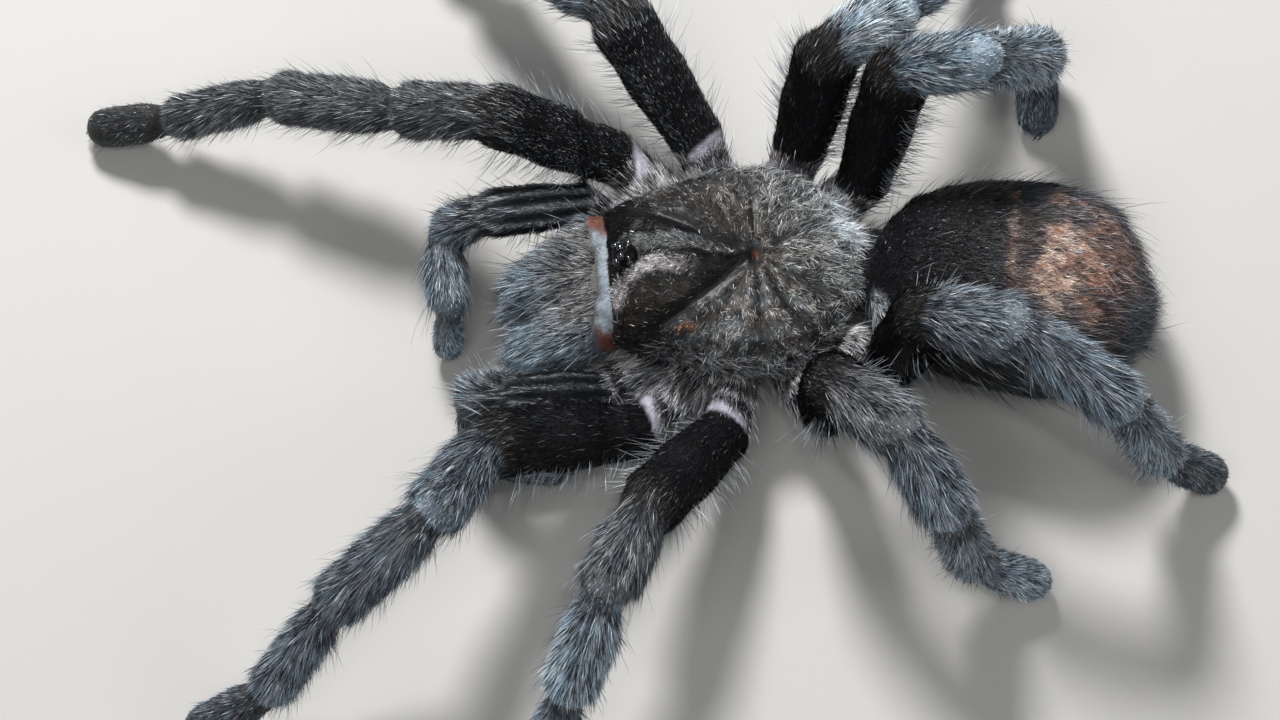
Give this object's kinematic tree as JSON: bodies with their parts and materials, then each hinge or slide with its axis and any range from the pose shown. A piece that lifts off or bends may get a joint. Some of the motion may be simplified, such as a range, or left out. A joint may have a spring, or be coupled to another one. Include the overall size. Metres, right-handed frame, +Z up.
{
  "type": "tarantula",
  "caption": "Life-size model of a large dark New World tarantula standing still on the floor, legs bent, abdomen swung to one side.",
  "frame": {"origin": "on the floor, under the middle of the whole animal's bounding box", "axes": "+Z up, the head faces -X, the spider's right side is +Y and its left side is -Y"},
  "size_m": [0.1118, 0.112, 0.0319],
  "materials": {
    "black_coat": "velvety black short hair with sparse long pale-tipped bristles",
    "grey_coat": "blue-grey charcoal hair lying towards the feet",
    "brown_coat": "short flat brown-grey hair over a dark hard shield, pale at the rim",
    "horn": "glossy black horn and eyes"
  },
  "bodies": {
    "root": {"carapace": "brown_coat", "sternum": "brown_coat", "abdomen": "black_coat", "chelicera_right": "grey_coat", "fang_right": "horn", "spinneret_right": "black_coat", "chelicera_left": "grey_coat", "fang_left": "horn", "spinneret_left": "black_coat", "eye_mound": "horn", "leg1_right_femur": "black_coat", "leg1_right_patella": "grey_coat", "leg1_right_tibia": "grey_coat", "leg1_right_metatarsus": "grey_coat", "leg1_right_tarsus": "grey_coat", "leg2_right_femur": "black_coat", "leg2_right_patella": "grey_coat", "leg2_right_tibia": "grey_coat", "leg2_right_metatarsus": "grey_coat", "leg2_right_tarsus": "grey_coat", "leg3_right_femur": "black_coat", "leg3_right_patella": "grey_coat", "leg3_right_tibia": "grey_coat", "leg3_right_metatarsus": "grey_coat", "leg3_right_tarsus": "grey_coat", "leg4_right_femur": "black_coat", "leg4_right_patella": "grey_coat", "leg4_right_tibia": "grey_coat", "leg4_right_metatarsus": "grey_coat", "leg4_right_tarsus": "grey_coat", "palp_right_femur": "black_coat", "palp_right_patella": "grey_coat", "palp_right_tibia": "grey_coat", "palp_right_tarsus": "grey_coat", "coxae_right": "brown_coat", "leg1_left_femur": "black_coat", "leg1_left_patella": "grey_coat", "leg1_left_tibia": "grey_coat", "leg1_left_metatarsus": "grey_coat", "leg1_left_tarsus": "grey_coat", "leg2_left_femur": "black_coat", "leg2_left_patella": "grey_coat", "leg2_left_tibia": "grey_coat", "leg2_left_metatarsus": "grey_coat", "leg2_left_tarsus": "grey_coat", "leg3_left_femur": "black_coat", "leg3_left_patella": "grey_coat", "leg3_left_tibia": "grey_coat", "leg3_left_metatarsus": "grey_coat", "leg3_left_tarsus": "grey_coat", "leg4_left_femur": "black_coat", "leg4_left_patella": "grey_coat", "leg4_left_tibia": "grey_coat", "leg4_left_metatarsus": "grey_coat", "leg4_left_tarsus": "grey_coat", "palp_left_femur": "black_coat", "palp_left_patella": "grey_coat", "palp_left_tibia": "grey_coat", "palp_left_tarsus": "grey_coat", "coxae_left": "brown_coat"}
  },
  "joints": []
}
